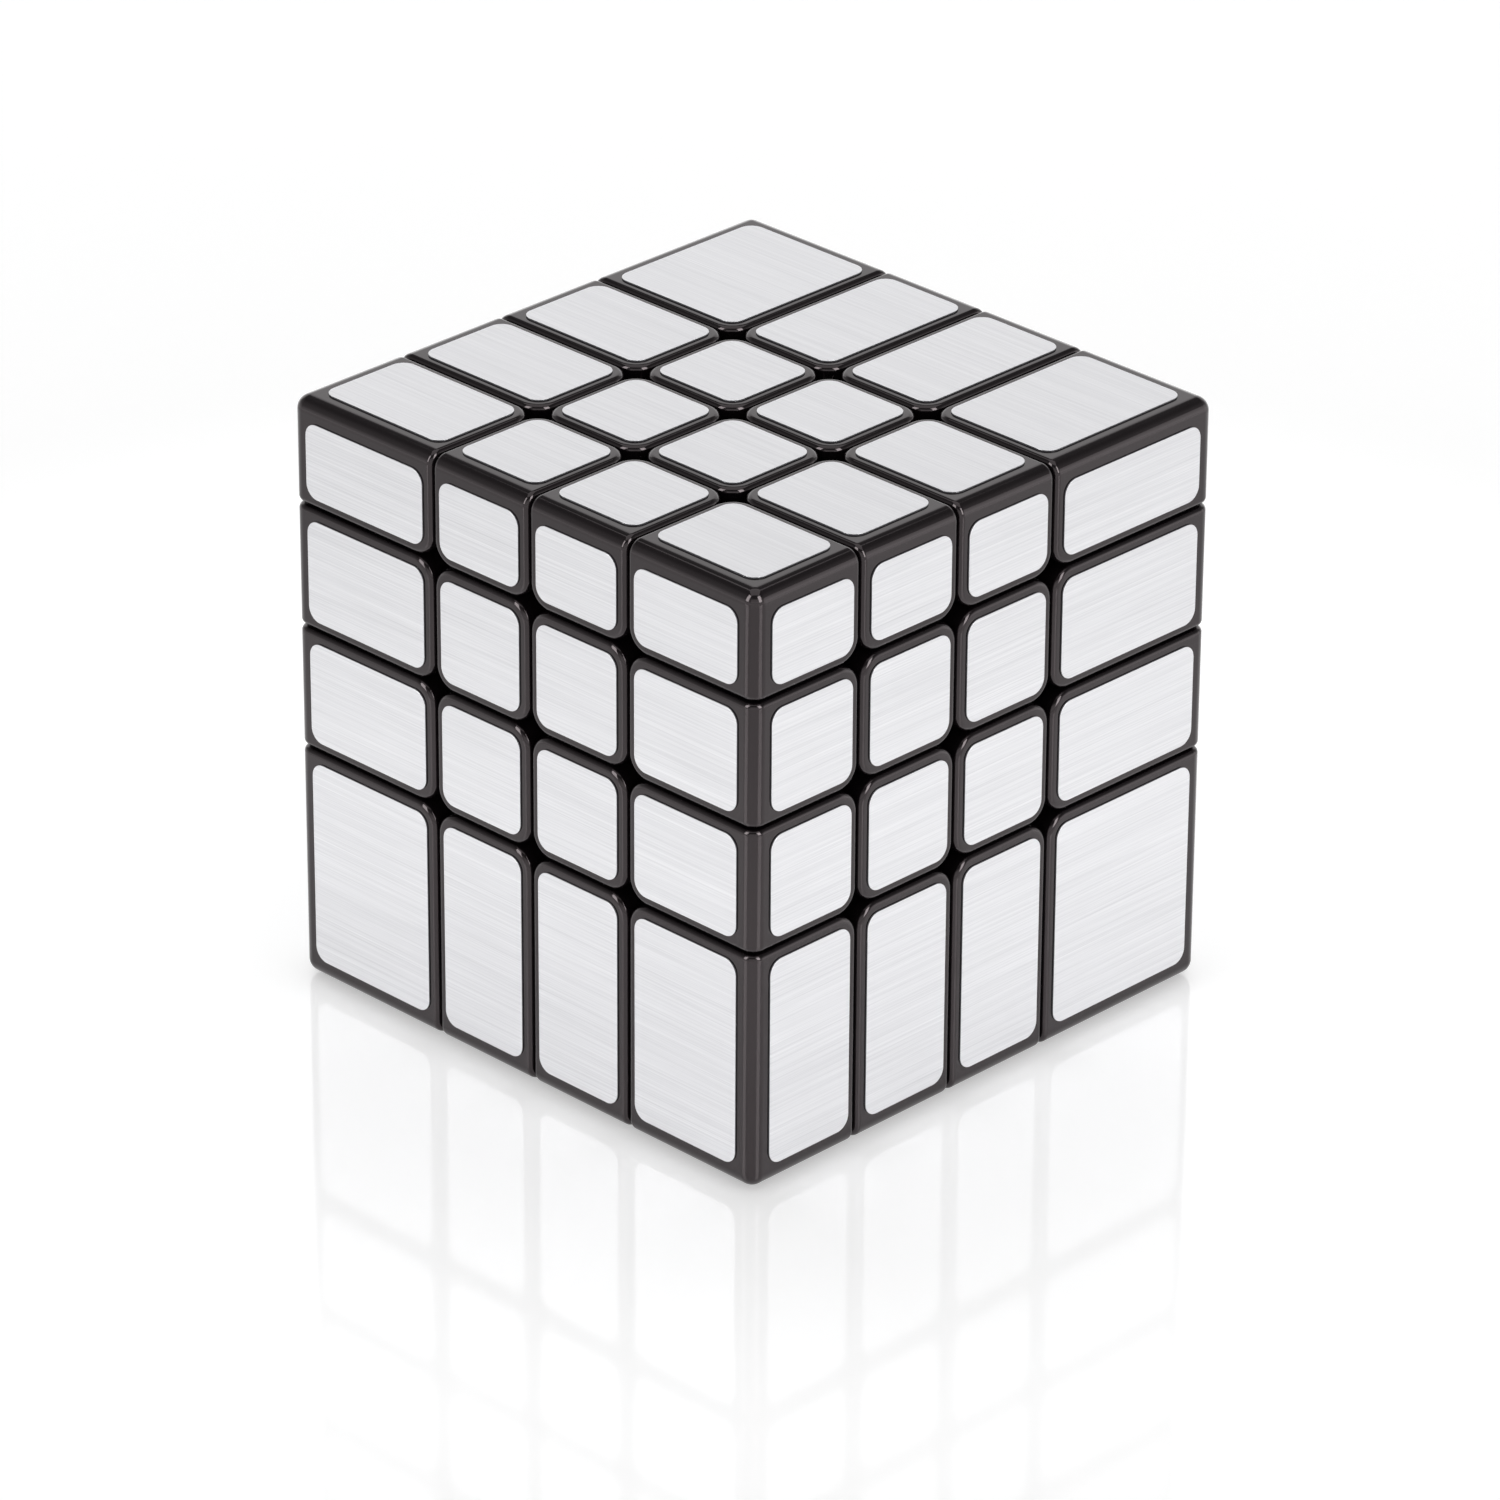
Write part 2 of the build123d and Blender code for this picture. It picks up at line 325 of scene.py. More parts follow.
@dataclass(frozen=True)
class MouldedGlossAbs(Finish):
    """Glossy moulded black ABS.

    The eye sees a deep black under a clear gloss, the faint waviness of a polished mould and light smudges.
    """

    colour: str = "#110D0F"
    worn_colour: str = "#171315"
    roughness_low: float = 0.06
    roughness_high: float = 0.12
    ior: float = 1.57
    gloss_tint: str = "#FFF1F4"
    waviness_mm: float = 3.0
    waviness_height_mm: float = 0.0012
    smudge_mm: float = 5.0
    smudge_detail: float = 5.0
    smudge_roughness: float = 0.6

    def build(self) -> Material:
        """Builds the material.

        Returns:
            The material.
        """
        material, add, coords = self.start()
        smudges = add(
            "ShaderNodeTexNoise",
            inputs={
                "Vector": coords,
                "Scale": 1 / (self.smudge_mm * MM),
                "Detail": self.smudge_detail,
                "Roughness": self.smudge_roughness,
            },
        )
        tint = add(
            "ShaderNodeMix",
            {"data_type": "RGBA"},
            {"Factor": smudges, 6: linear(self.colour), 7: linear(self.worn_colour)},
        )
        gloss = add(
            "ShaderNodeMapRange",
            inputs={
                "Value": smudges,
                "From Min": NOISE_LOW,
                "From Max": NOISE_HIGH,
                "To Min": self.roughness_low,
                "To Max": self.roughness_high,
            },
        )
        waves = add(
            "ShaderNodeTexNoise",
            inputs={"Vector": coords, "Scale": 1 / (self.waviness_mm * MM), "Detail": 1.0},
        )
        bump = add("ShaderNodeBump", inputs={"Height": waves, "Distance": self.waviness_height_mm * MM})
        shader = add(
            "ShaderNodeBsdfPrincipled",
            inputs={
                "Base Color": tint.outputs[2],
                "Roughness": gloss,
                "Normal": bump,
                "IOR": self.ior,
                "Specular Tint": linear(self.gloss_tint),
            },
        )
        add("ShaderNodeOutputMaterial", inputs={"Surface": shader})
        return material


@dataclass(frozen=True)
class Streak:
    """One size of brushing mark: noise drawn out along the grain, and how strongly it shows."""

    width_mm: float
    length_mm: float
    detail: float
    weight: float


@dataclass(frozen=True)
class BrushedSilverFilm(Finish):
    """Metallised polyester film, brushed along one axis.

    The eye sees a bright even silver with fine straight hairlines, some coarser ones and very faint bands.
    """

    grain: Grain = Grain.ALONG_X
    light_colour: str = "#F6F6F8"
    dark_colour: str = "#D4D4D7"
    # The cut edge shows the clear polyester over black, not the metal.
    edge_colour: str = "#6E6E72"
    # Hairlines, coarser hairlines and bands. Real hairlines are finer, but finer ones wouldn't show.
    streaks: tuple[Streak, ...] = (
        Streak(width_mm=0.11, length_mm=32.0, detail=3.0, weight=1.0),
        Streak(width_mm=0.22, length_mm=18.0, detail=2.0, weight=0.35),
        Streak(width_mm=1.6, length_mm=60.0, detail=1.0, weight=0.12),
    )
    streak_roughness: float = 0.8
    # The sums of the streaks that give the dark and the light colour.
    dark_level: float = 0.43
    light_level: float = 1.04
    roughness_low: float = 0.34
    roughness_high: float = 0.44
    hairline_height_mm: float = 0.0008

    def streak_noise(self, add: AddNode, coords: NodeSocket, seed: NodeSocket, streak: Streak) -> Node:
        """Adds noise that is drawn out along the grain.

        Args:
            add: Adds a node to the material's tree.
            coords: Object coordinates.
            seed: A number that differs from film to film.
            streak: The size of the marks.

        Returns:
            The noise node.
        """
        scale = [1 / (streak.width_mm * MM)] * 3
        scale[self.grain.value] = 1 / (streak.length_mm * MM)
        mapping = add("ShaderNodeMapping", inputs={"Vector": coords, "Scale": scale})
        return add(
            "ShaderNodeTexNoise",
            {"noise_dimensions": "4D"},
            {
                "Vector": mapping,
                "W": seed,
                "Scale": 1.0,
                "Detail": streak.detail,
                "Roughness": self.streak_roughness,
            },
        )

    def build(self) -> Material:
        """Builds the material.

        Returns:
            The material.
        """
        material, add, coords = self.start()
        seed = add("ShaderNodeAttribute", {"attribute_name": "film_seed"}).outputs["Fac"]
        marks = [self.streak_noise(add, coords, seed, streak) for streak in self.streaks]
        hairlines = marks[0]
        total: Node | float = 0.0
        for mark, streak in zip(marks, self.streaks):
            added = {0: mark, 1: streak.weight, 2: total}
            total = add("ShaderNodeMath", {"operation": "MULTIPLY_ADD"}, added)
        shade = add(
            "ShaderNodeMapRange",
            inputs={"Value": total, "From Min": self.dark_level, "From Max": self.light_level},
        )
        tint = add(
            "ShaderNodeMix",
            {"data_type": "RGBA"},
            {"Factor": shade, 6: linear(self.dark_colour), 7: linear(self.light_colour)},
        )
        rough = add(
            "ShaderNodeMapRange",
            inputs={
                "Value": hairlines,
                "From Min": NOISE_LOW,
                "From Max": NOISE_HIGH,
                "To Min": self.roughness_low,
                "To Max": self.roughness_high,
            },
        )
        bump = add("ShaderNodeBump", inputs={"Height": hairlines, "Distance": self.hairline_height_mm * MM})
        edge = add("ShaderNodeAttribute", {"attribute_name": "film_edge"}).outputs["Fac"]
        colour = add(
            "ShaderNodeMix",
            {"data_type": "RGBA"},
            {"Factor": edge, 6: tint.outputs[2], 7: linear(self.edge_colour)},
        )
        metal = add("ShaderNodeMath", {"operation": "SUBTRACT"}, {0: 1.0, 1: edge})
        shader = add(
            "ShaderNodeBsdfPrincipled",
            inputs={"Base Color": colour.outputs[2], "Metallic": metal, "Roughness": rough, "Normal": bump},
        )
        add("ShaderNodeOutputMaterial", inputs={"Surface": shader})
        return material


@dataclass(frozen=True)
class MouldedPlastic(Finish):
    """Satin moulded nylon or acetal.

    The eye sees an even colour with soft clouds and a fine mould texture.
    """

    colour: str = "#1A1A1B"
    shadow_colour: str = "#121213"
    roughness: float = 0.42
    ior: float = 1.50
    texture_mm: float = 0.25
    texture_height_mm: float = 0.004
    texture_strength: float = 0.6
    cloud_mm: float = 4.0

    def build(self) -> Material:
        """Builds the material.

        Returns:
            The material.
        """
        material, add, coords = self.start()
        cloud = add(
            "ShaderNodeTexNoise",
            inputs={"Vector": coords, "Scale": 1 / (self.cloud_mm * MM), "Detail": 4.0},
        )
        tint = add(
            "ShaderNodeMix",
            {"data_type": "RGBA"},
            {"Factor": cloud, 6: linear(self.shadow_colour), 7: linear(self.colour)},
        )
        grit = add(
            "ShaderNodeTexNoise",
            inputs={"Vector": coords, "Scale": 1 / (self.texture_mm * MM), "Detail": 3.0},
        )
        bump = add(
            "ShaderNodeBump",
            inputs={
                "Height": grit,
                "Distance": self.texture_height_mm * MM,
                "Strength": self.texture_strength,
            },
        )
        shader = add(
            "ShaderNodeBsdfPrincipled",
            inputs={
                "Base Color": tint.outputs[2],
                "Roughness": self.roughness,
                "Normal": bump,
                "IOR": self.ior,
            },
        )
        add("ShaderNodeOutputMaterial", inputs={"Surface": shader})
        return material


@dataclass(frozen=True)
class MachineSteel(Finish):
    """Small steel hardware: black zinc plate on screws, drawn wire on springs, stamped sheet on washers.

    The eye sees a satin metal with small darker stains.
    """

    colour: str = "#B9BBBE"
    stain_colour: str = "#8E9094"
    roughness_low: float = 0.22
    roughness_high: float = 0.4
    mark_mm: float = 0.4
    mark_detail: float = 6.0
    mark_roughness: float = 0.7

    def build(self) -> Material:
        """Builds the material.

        Returns:
            The material.
        """
        material, add, coords = self.start()
        marks = add(
            "ShaderNodeTexNoise",
            inputs={
                "Vector": coords,
                "Scale": 1 / (self.mark_mm * MM),
                "Detail": self.mark_detail,
                "Roughness": self.mark_roughness,
            },
        )
        tint = add(
            "ShaderNodeMix",
            {"data_type": "RGBA"},
            {"Factor": marks, 6: linear(self.stain_colour), 7: linear(self.colour)},
        )
        rough = add(
            "ShaderNodeMapRange",
            inputs={"Value": marks, "To Min": self.roughness_low, "To Max": self.roughness_high},
        )
        shader = add(
            "ShaderNodeBsdfPrincipled",
            inputs={"Base Color": tint.outputs[2], "Metallic": 1.0, "Roughness": rough},
        )
        add("ShaderNodeOutputMaterial", inputs={"Surface": shader})
        return material


@dataclass(frozen=True)
class PaintedGlowAcrylicFloor(Finish):
    """Glossy white acrylic with a painted glow.

    The eye sees a pale sheet whose painted glow thins the shadows and, lower next to the cube, paints shade
    around its base, and a faint mirror image that fades out.
    """

    colour: str = "#EFEFEF"
    # Painted light and shade: the floor's glow at each distance from the cube, in millimetres; it is lower
    # next to the cube, which paints shade around its base.
    painted_glow_levels: tuple[tuple[float, float], ...] = ((38, 0.48), (84, 0.62), (145, 0.43))
    painted_glow_reach_mm: float = 200.0
    roughness_low: float = 0.06
    roughness_high: float = 0.08
    ior: float = 1.85
    haze_mm: float = 250.0

    def build(self) -> Material:
        """Builds the material.

        Returns:
            The material.
        """
        material, add, coords = self.start()
        haze = add(
            "ShaderNodeTexNoise", inputs={"Vector": coords, "Scale": 1 / (self.haze_mm * MM), "Detail": 3.0}
        )
        rough = add(
            "ShaderNodeMapRange",
            inputs={"Value": haze, "To Min": self.roughness_low, "To Max": self.roughness_high},
        )
        reach = add("ShaderNodeVectorMath", {"operation": "LENGTH"}, {0: coords})
        share = add(
            "ShaderNodeMath",
            {"operation": "DIVIDE"},
            {0: reach.outputs["Value"], 1: self.painted_glow_reach_mm * MM},
        )
        stops = [(distance / self.painted_glow_reach_mm, level) for distance, level in self.painted_glow_levels]
        # Painted light and shade: the floor glows less next to the cube and more farther out.
        painted_glow = grey_ramp(add, share.outputs[0], stops, "EASE")
        shader = add(
            "ShaderNodeBsdfPrincipled",
            inputs={
                "Base Color": linear(self.colour),
                "Roughness": rough,
                "IOR": self.ior,
                "Emission Color": linear(self.colour),
                "Emission Strength": painted_glow,
            },
        )
        add("ShaderNodeOutputMaterial", inputs={"Surface": shader})
        return material


# ---- the cube's layers


@dataclass(frozen=True)
class LayerGrid:
    """Where the layers of the cube begin and end on every axis, in metres."""

    centre: Vector
    low: Vector
    high: Vector
    slice_thickness: float = 12.5 * MM
    inner_margin: float = 1.13 * MM
    outer_margin: float = 2.2 * MM

    @classmethod
    def from_frame(cls, frame: dict[str, Any]) -> "LayerGrid":
        """Reads the mechanism's centre from the joints and the cube's box from the CAD model.


        Returns:
            The grid.
        """
        low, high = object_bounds()
        return cls(centre=Vector(frame["joints"][0]["pos_m"]), low=low, high=high)

    def film_span(self, axis: int, index: int) -> tuple[float, float]:
        """Where a film starts and ends along an axis.

        Args:
            axis: 0, 1 or 2.
            index: The layer along that axis, 0 to 3.

        Returns:
            The low and the high end.
        """
        middle = self.centre[axis]
        cuts = [middle - self.slice_thickness, middle, middle + self.slice_thickness]
        lows = [self.low[axis] + self.outer_margin] + [cut + self.inner_margin for cut in cuts]
        highs = [cut - self.inner_margin for cut in cuts] + [self.high[axis] - self.outer_margin]
        return lows[index], highs[index]


# ---- moulded pieces


@dataclass
class Mouldings:
    """Moulded pieces of one plastic: each CAD node with its facets welded and its rounded edges smooth."""

    frame: dict[str, Any]
    finish: Finish
    weld_distance: float = 0.0005 * MM
    smooth_angle_deg: float = 32.0
    flat_face_weight: int = 100

    def smoothing_tree(self) -> NodeTree:
        """Builds the Geometry Nodes tree that welds a moulding's triangles and smooths its rounded edges.

        Returns:
            The tree, with a weld distance, a smooth angle and a material as its inputs.
        """
        tree, add, entry = new_geometry_tree(
            f"{self.finish.name}_moulded_surface",
            {"Weld Distance": "Float", "Smooth Angle": "Float", "Material": "Material"},
        )
        weld = add(
            "GeometryNodeMergeByDistance",
            inputs={"Geometry": entry["Geometry"], "Distance": entry["Weld Distance"]},
        )
        smooth = add(
            "GeometryNodeSetShadeSmooth", {"domain": "FACE"}, {"Geometry": weld, "Shade Smooth": True}
        )
        angle = add("GeometryNodeInputMeshEdgeAngle")
        gentle = add(
            "FunctionNodeCompare",
            {"operation": "LESS_THAN"},
            {0: angle.outputs["Unsigned Angle"], 1: entry["Smooth Angle"]},
        )
        edges = add(
            "GeometryNodeSetShadeSmooth", {"domain": "EDGE"}, {"Geometry": smooth, "Shade Smooth": gentle}
        )
        close_geometry_tree(add, edges, entry["Material"])
        return tree

    def nodes(self) -> list[str]:
        """The CAD nodes that are moulded in this finish's slot."""
        subparts = self.frame["record"]["subparts"]
        return sorted(part["node"] for part in subparts if part["material_slot"] == self.finish.slot)

    def build(self) -> Iterable[Object]:
        """Builds one smooth piece for each CAD node.

        Yields:
            Each finished piece.
        """
        material = self.finish.build()
        tree = self.smoothing_tree()
        bodies = body_of_node(self.frame)
        for node in self.nodes():
            piece = new_piece(f"{node}_moulding", self.frame["nodes"][node].data.copy())
            piece.data.materials.clear()
            sizes = {
                "Weld Distance": self.weld_distance,
                "Smooth Angle": math.radians(self.smooth_angle_deg),
                "Material": material,
            }
            add_tree(piece, "surface", tree, sizes)
            weighted = piece.modifiers.new("flat_faces_stay_flat", "WEIGHTED_NORMAL")
            weighted.keep_sharp = True
            weighted.weight = self.flat_face_weight
            baked(piece)
            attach(piece, bodies[node])
            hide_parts(node)
            yield piece


# ---- films


@dataclass
class FilmSheets:
    """The ninety-six silver films, cut with rounded corners and a faintly rounded edge."""

    grid: LayerGrid
    finishes: dict[Grain, BrushedSilverFilm]
    thickness: float = 0.15 * MM
    corner_radius: float = 1.4 * MM
    corner_steps: int = 8
    edge_round: float = 0.03 * MM
    edge_steps: int = 3
    edge_angle_deg: float = 60.0
    weld_distance: float = 0.0015 * MM
    # Films whose places in the noise differ by this much look unlike each other.
    seed_spread: float = 40.0
    random_seed: int = 7

    def sheet_tree(self) -> NodeTree:
        """Builds the Geometry Nodes tree that turns flat rectangles into films on one outer face.

        Returns:
            The tree. Its inputs are the corner radius, the thickness, the face's turn and place, the
            material and a seed.
        """
        tree, add, entry = new_geometry_tree(
            "silver_film_sheet",
            {
                "Corner Radius": "Float",
                "Thickness": "Float",
                "Turn": "Vector",
                "Place": "Vector",
                "Material": "Material",
                "Seed": "Int",
            },
        )
        outline = add("GeometryNodeMeshToCurve", inputs={"Mesh": entry["Geometry"]})
        rounded = add(
            "GeometryNodeFilletCurve",
            {"mode": "POLY"},
            {"Curve": outline, "Count": self.corner_steps, "Radius": entry["Corner Radius"]},
        )
        sheet = add("GeometryNodeFillCurve", {"mode": "NGONS"}, inputs={"Curve": rounded})
        raised = add(
            "GeometryNodeExtrudeMesh",
            {"mode": "FACES"},
            {"Mesh": sheet, "Offset Scale": entry["Thickness"], "Individual": False},
        )
        marked = add(
            "GeometryNodeStoreNamedAttribute",
            {"data_type": "FLOAT", "domain": "FACE"},
            {"Geometry": raised, "Name": "film_edge", "Value": raised.outputs["Side"]},
        )
        underside = add("GeometryNodeFlipFaces", inputs={"Mesh": sheet})
        both = add("GeometryNodeJoinGeometry")
        tree.links.new(marked.outputs["Geometry"], both.inputs[0])
        tree.links.new(underside.outputs["Mesh"], both.inputs[0])
        closed = add(
            "GeometryNodeMergeByDistance", inputs={"Geometry": both, "Distance": self.weld_distance}
        )
        island = add("GeometryNodeInputMeshIsland")
        chance = add(
            "FunctionNodeRandomValue",
            {"data_type": "FLOAT"},
            {2: 0.0, 3: self.seed_spread, "ID": island.outputs["Island Index"], "Seed": entry["Seed"]},
        )
        seeded = add(
            "GeometryNodeStoreNamedAttribute",
            {"data_type": "FLOAT", "domain": "POINT"},
            {"Geometry": closed, "Name": "film_seed", "Value": chance.outputs[1]},
        )
        placed = add(
            "GeometryNodeTransform",
            inputs={"Geometry": seeded, "Rotation": entry["Turn"], "Translation": entry["Place"]},
        )
        close_geometry_tree(add, placed, entry["Material"])
        return tree

    @staticmethod
    def face_frame(face: Face) -> Matrix:
        """The turn from a flat sheet, which looks along +Z, to an outer face.

        Args:
            face: The outer face.

        Returns:
            A rotation whose columns are the sheet's own axes on the cube.
        """
        axis, side = face.value
        normal = Vector()
        normal[axis] = side
        across = Vector((1.0, 0.0, 0.0)) if axis != 0 else Vector((0.0, 1.0, 0.0))
        up = normal.cross(across)
        return Matrix((across, up, normal)).transposed()

    def cells(self, face: Face, layer: Layer | None) -> list[Cell]:
        """The rectangles of the films on one face, in the flat sheet's own axes.

        Args:
            face: The outer face.
            layer: The layer whose films are wanted, or None for all sixteen.

        Returns:
            The cell of each film.
        """
        axis, _ = face.value
        first, second = [other for other in range(3) if other != axis]
        turn = self.face_frame(face)
        found = []
        for i, j in product(range(len(LAYERS)), repeat=2):
            if layer is not None and LAYERS.index(layer) != j:
                continue
            spans = {first: self.grid.film_span(first, i), second: self.grid.film_span(second, j)}
            corners = []
            for end in (0, 1):
                point = Vector()
                point[first] = spans[first][end]
                point[second] = spans[second][end]
                corners.append(turn.transposed() @ point)
            xs = sorted(corner.x for corner in corners)
            ys = sorted(corner.y for corner in corners)
            found.append(((xs[0], ys[0]), (xs[1], ys[1])))
        return found

    def build_face(
        self, name: str, face: Face, layer: Layer | None, tree: NodeTree, material: Material
    ) -> Object:
        """Builds the films of one face that belong to one layer.

        Args:
            name: The piece's name.
            face: The outer face.
            layer: The layer, or None for the whole face.
            tree: The sheet tree.
            material: The brushed finish.

        Returns:
            The piece, as a plain mesh.
        """
        points: list[tuple[float, float, float]] = []
        quads: list[tuple[int, ...]] = []
        for (x0, y0), (x1, y1) in self.cells(face, layer):
            start = len(points)
            points += [(x0, y0, 0.0), (x1, y0, 0.0), (x1, y1, 0.0), (x0, y1, 0.0)]
            quads.append(tuple(range(start, start + 4)))
        mesh = bpy.data.meshes.new(name)
        mesh.from_pydata(points, [], quads)
        piece = new_piece(name, mesh)
        axis, side = face.value
        turn = self.face_frame(face)
        place = Vector()
        outer = self.grid.high[axis] if side > 0 else self.grid.low[axis]
        place[axis] = outer - side * self.thickness
        add_tree(
            piece,
            "films",
            tree,
            {
                "Corner Radius": self.corner_radius,
                "Thickness": self.thickness,
                "Turn": tuple(turn.to_euler()),
                "Place": tuple(place),
                "Material": material,
                "Seed": self.random_seed + sum(map(ord, name)),
            },
        )
        edge = piece.modifiers.new("rounded_edge", "BEVEL")
        edge.width = self.edge_round
        edge.segments = self.edge_steps
        edge.limit_method = "ANGLE"
        edge.angle_limit = math.radians(self.edge_angle_deg)
        edge.harden_normals = True
        return baked(piece)

    def build(self) -> Iterable[Object]:
        """Builds all films, one piece for each face of each layer.

        Yields:
            Each finished piece.
        """
        tree = self.sheet_tree()
        materials = {grain: finish.build() for grain, finish in self.finishes.items()}
        jobs = [
            (Face.TOP, None, Layer.TOP, "top_face_stickers"),
            (Face.BOTTOM, None, Layer.BOTTOM, "bottom_face_stickers"),
        ]
        for layer, face in product(LAYERS, SIDE_FACES):
            jobs.append((face, layer, layer, f"{layer.value}_side_stickers"))
        for face, only, body, node in jobs:
            grain = Grain.ALONG_Y if face.value[0] == 0 else Grain.ALONG_X
            name = f"films_{body.value}_{face.name.lower()}"
            piece = self.build_face(name, face, only, tree, materials[grain])
            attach(piece, body.value)
            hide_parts(node)
            yield piece


# ---- hidden hardware


def turned_mesh(name: str, rings: Sequence[tuple[float, Sequence[float]]]) -> Mesh:
    """Makes a closed mesh about the Z axis from rings of points, as on a lathe.

    Args:
        name: The mesh's name.
        rings: The height of each ring and its radius at each step round the axis. A last ring at the first
            ring's height and radii closes a piece with a bore; otherwise both ends are closed with a face.

    Returns:
        The mesh, with its faces pointing outwards.
    """
    steps = len(rings[0][1])
    bored = rings[0] == rings[-1]
    rows = rings[:-1] if bored else rings
    points = []
    for height, radii in rows:
        for step, radius in enumerate(radii):
            angle = FULL_TURN * step / steps
            points.append((radius * math.cos(angle), radius * math.sin(angle), height))
    faces: list[tuple[int, ...]] = []
    for row in range(len(rings) - 1):
        below, above = row * steps, (row + 1) % len(rows) * steps
        for step in range(steps):
            after = (step + 1) % steps
            faces.append((below + step, below + after, above + after, above + step))
    if not bored:
        faces.append(tuple(reversed(range(steps))))
        faces.append(tuple(range(len(points) - steps, len(points))))
    mesh = bpy.data.meshes.new(name)
    mesh.from_pydata(points, [], faces)
    return mesh


def rounded_corner(
    radius: float, height: float, round_radius: float, steps: int
) -> list[tuple[float, float]]:
    """A quarter circle that rounds an upper outer corner.

    Args:
        radius: The corner's radius from the axis.
        height: The corner's height.
        round_radius: The size of the quarter circle.
        steps: How many segments it has.

    Returns:
        Radius and height of each point, from the side up to the top.
    """
    points = []
    for step in range(steps + 1):
        angle = FULL_TURN / 4 * step / steps
        inwards, downwards = 1 - math.cos(angle), 1 - math.sin(angle)
        points.append((radius - round_radius * inwards, height - round_radius * downwards))
    return points


@dataclass
class ArmHardware:
    """The screw, spring and washer on each of the core's six arms, sized along and across the arm."""

    frame: dict[str, Any]
    centre: Vector
    screw_finish: MachineSteel
    spring_finish: MachineSteel
    washer_finish: MachineSteel
    round_steps: int = 36
    sharp_angle_deg: float = 35.0

    screw_start: float = 6.5 * MM
    thread_length: float = 4.2 * MM
    thread_pitch: float = 0.7 * MM
    thread_root: float = 0.88 * MM
    shank_radius: float = 1.15 * MM
    head_base: float = 15.9 * MM
    head_height: float = 1.3 * MM
    head_radius: float = 2.5 * MM
    head_round: float = 0.52 * MM
    head_round_steps: int = 6
    recess_width: float = 0.5 * MM
    recess_length: float = 2.6 * MM
    recess_depth: float = 0.7 * MM
    rows_per_pitch: int = 8

    spring_start: float = 12.78 * MM
    spring_height: float = 2.79 * MM
    spring_radius: float = 2.15 * MM
    wire_radius: float = 0.27 * MM
    wire_steps: int = 12
    spring_turns: float = 4.0

    washer_start: float = 12.2 * MM
    washer_height: float = 0.25 * MM
    washer_radius: float = 2.8 * MM
    washer_bore: float = 1.35 * MM
    washer_round: float = 0.06 * MM
    washer_round_steps: int = 3

    def on_arms(self, add: AddNode, entry: Any, single: NodeSocket) -> Node:
        """Puts one piece, made upwards from its own base, on each of the six arms.

        Args:
            add: Adds a node to the tree.
            entry: The sockets of its inputs, with Arm Start and Arm Centre.
            single: The socket with the single piece.

        Returns:
            The node with the six pieces.
        """
        # A die as wide as two arm starts has the middle of each face where an arm's piece begins.
        width = add("ShaderNodeMath", {"operation": "MULTIPLY"}, {0: entry["Arm Start"], 1: 2.0})
        size = add("ShaderNodeCombineXYZ", inputs={axis: width for axis in ("X", "Y", "Z")})
        die = add("GeometryNodeMeshCube", inputs={"Size": size})
        arms = add("GeometryNodeMeshToPoints", {"mode": "FACES"}, {"Mesh": die})
        outwards = add("GeometryNodeInputPosition")
        turn = add("FunctionNodeAlignRotationToVector", {"axis": "Z"}, {"Vector": outwards})
        six = add(
            "GeometryNodeInstanceOnPoints", inputs={"Points": arms, "Instance": single, "Rotation": turn}
        )
        return add("GeometryNodeTransform", inputs={"Geometry": six, "Translation": entry["Arm Centre"]})

    def arm_tree(self) -> NodeTree:
        """Builds the tree that repeats a given single piece on the arms.

        Returns:
            The tree, with the arm's start, the arms' centre and a material as its inputs.
        """
        tree, add, entry = new_geometry_tree(
            "piece_on_each_arm", {"Arm Start": "Float", "Arm Centre": "Vector", "Material": "Material"}
        )
        placed = self.on_arms(add, entry, entry["Geometry"])
        close_geometry_tree(add, placed, entry["Material"])
        return tree

    def spring_tree(self) -> NodeTree:
        """Builds the tree that winds a spring and repeats it on the arms.

        Returns:
            The tree, with the spring's sizes and the inputs of arm_tree.
        """
        tree, add, entry = new_geometry_tree(
            "spring_on_each_arm",
            {
                "Turns": "Float",
                "Coil Radius": "Float",
                "Coil Height": "Float",
                "Wire Radius": "Float",
                "Arm Start": "Float",
                "Arm Centre": "Vector",
                "Material": "Material",
            },
        )
        helix = add(
            "GeometryNodeCurveSpiral",
            inputs={
                "Resolution": self.round_steps,
                "Rotations": entry["Turns"],
                "Start Radius": entry["Coil Radius"],
                "End Radius": entry["Coil Radius"],
                "Height": entry["Coil Height"],
            },
        )
        wire = add(
            "GeometryNodeCurvePrimitiveCircle",
            inputs={"Resolution": self.wire_steps, "Radius": entry["Wire Radius"]},
        )
        coil = add(
            "GeometryNodeCurveToMesh", inputs={"Curve": helix, "Profile Curve": wire, "Fill Caps": True}
        )
        placed = self.on_arms(add, entry, coil.outputs["Mesh"])
        close_geometry_tree(add, placed, entry["Material"])
        return tree

    def ring(self, height: float, radius: float) -> tuple[float, list[float]]:
        """A plain round ring."""
        return height, [radius] * self.round_steps

    def thread_rings(self) -> list[tuple[float, list[float]]]:
        """Makes the rings of the screw's thread.

        Returns:
            The height and the radii of each ring, from the tip upwards.
        """
        rows = round(self.thread_length / self.thread_pitch * self.rows_per_pitch)
        rings = []
        for row in range(rows + 1):
            height = self.thread_length * row / rows
            radii = []
            for step in range(self.round_steps):
                phase = (height / self.thread_pitch - step / self.round_steps) % 1.0
                crest = 1 - abs(2 * phase - 1)
                radii.append(self.thread_root + (self.shank_radius - self.thread_root) * crest)
            rings.append((height, radii))
        return rings

